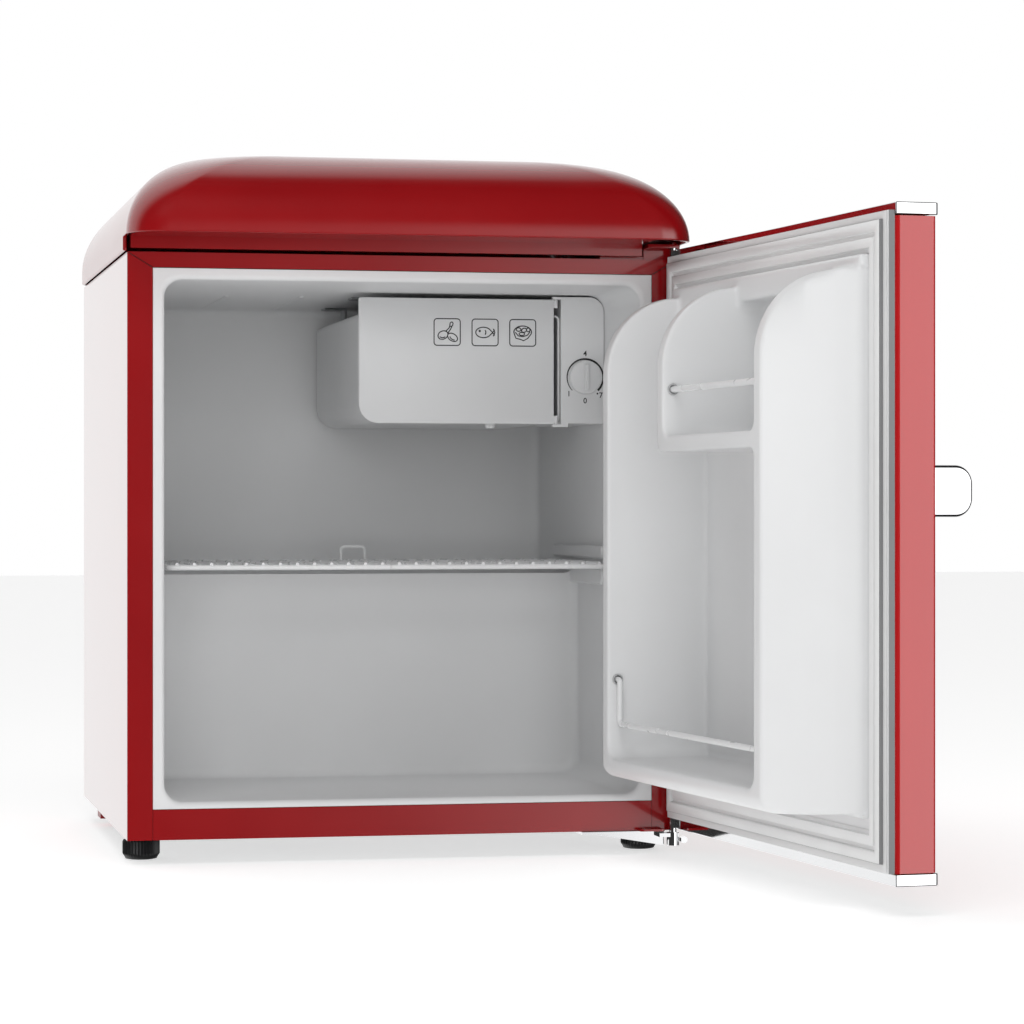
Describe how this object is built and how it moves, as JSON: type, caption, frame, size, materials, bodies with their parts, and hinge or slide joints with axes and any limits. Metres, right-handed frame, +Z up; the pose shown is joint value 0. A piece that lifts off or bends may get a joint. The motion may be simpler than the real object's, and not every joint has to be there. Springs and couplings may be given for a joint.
{
  "type": "mini fridge",
  "caption": "Compact retro refrigerator with a domed red cap, a hinged door with moulded bins, a small icebox, a thermostat, a wire shelf and a compressor bay.",
  "frame": {"origin": "centre in plan of the bounding box with the door open, at the level of the feet's soles", "axes": "+Z up; -Y out of the cabinet's front; +X towards the hinge side"},
  "size_m": [0.5494, 0.8766, 0.563],
  "materials": {
    "red_paint": "gloss",
    "cap_red": "gloss",
    "white_liner": "satin",
    "chrome": "polished",
    "zinc": "satin",
    "black_metal": "satin",
    "black_plastic": "matte",
    "black_rubber": "matte",
    "foam": "matte",
    "gasket_rubber": "satin",
    "aluminium": "satin",
    "copper": "satin",
    "white_wire": "gloss",
    "white_plastic": "satin"
  },
  "bodies": {
    "cabinet": {"outer_wrapper": "red_paint", "front_frame_left": "red_paint", "front_frame_right": "red_paint", "front_frame_top": "red_paint", "front_frame_bottom": "red_paint", "inner_liner": "white_liner", "foam_insulation": "foam", "back_panel": "zinc", "compressor_bay_panel": "zinc", "base_pan": "zinc", "condenser_coil": "black_metal", "top_cap": "cap_red", "top_front_strip": "cap_red", "evaporator_box": "aluminium", "evaporator_hanger_front": "zinc", "evaporator_hanger_rear": "zinc", "evaporator_drain_plug": "white_plastic", "thermostat_housing": "white_plastic", "thermostat_body": "zinc", "compressor": "black_metal", "discharge_tube": "copper", "compressor_grommet_1": "black_rubber", "compressor_grommet_2": "black_rubber", "compressor_grommet_3": "black_rubber", "compressor_grommet_4": "black_rubber", "compressor_mount": "zinc", "relay_cover": "black_plastic", "cord_gland": "black_plastic", "filter_drier": "copper", "foot_nut_left": "zinc", "rear_foot_left": "red_paint", "rear_pad_left": "black_rubber", "foot_nut_right": "zinc", "rear_foot_right": "red_paint", "rear_pad_right": "black_rubber", "lower_hinge_bracket": "chrome", "lower_hinge_pin": "chrome", "lower_hinge_nut": "chrome", "door_stop_plate": "red_paint", "upper_hinge_bracket": "red_paint", "upper_hinge_pin": "chrome"},
    "door": {"door_skin": "red_paint", "door_foam": "foam", "trim_bottom": "chrome", "trim_top": "chrome", "door_liner": "white_liner", "upper_bin_bar": "white_wire", "lower_bin_wire": "white_wire", "door_gasket": "gasket_rubber", "handle": "chrome", "door_bush_lower": "white_plastic", "door_bush_upper": "white_plastic"},
    "freezer_door": {"freezer_door": "white_plastic"},
    "thermostat_knob": {"thermostat_knob": "white_plastic"},
    "wire_shelf": {"wire_shelf": "white_wire"},
    "front_foot_left": {"front_foot_left": "black_plastic"},
    "front_foot_right": {"front_foot_right": "black_plastic"}
  },
  "joints": [
    {"name": "door_hinge", "type": "hinge", "parent": "cabinet", "child": "door", "pos_m": [0.16932, 0.00028, 0.256], "axis": [0, 0, 1], "range_deg": [-95.3, 10]},
    {"name": "freezer_door_hinge", "type": "hinge", "parent": "cabinet", "child": "freezer_door", "pos_m": [0.10232, 0.13508, 0.405], "axis": [0, 0, 1], "range_deg": [0, 80]},
    {"name": "thermostat_knob_turn", "type": "hinge", "parent": "cabinet", "child": "thermostat_knob", "pos_m": [0.12752, 0.13328, 0.3926], "axis": [0, 1, 0], "range_deg": [-140, 140]},
    {"name": "shelf_slide", "type": "slide", "parent": "cabinet", "child": "wire_shelf", "axis": [0, -1, 0], "range_m": [0, 0.095]},
    {"name": "front_foot_left_turn", "type": "hinge", "parent": "cabinet", "child": "front_foot_left", "pos_m": [-0.25468, 0.06628, 0.01], "axis": [0, 0, 1], "range_deg": [0, 720]},
    {"name": "front_foot_right_turn", "type": "hinge", "parent": "cabinet", "child": "front_foot_right", "pos_m": [0.15732, 0.06628, 0.01], "axis": [0, 0, 1], "range_deg": [0, 720]}
  ]
}
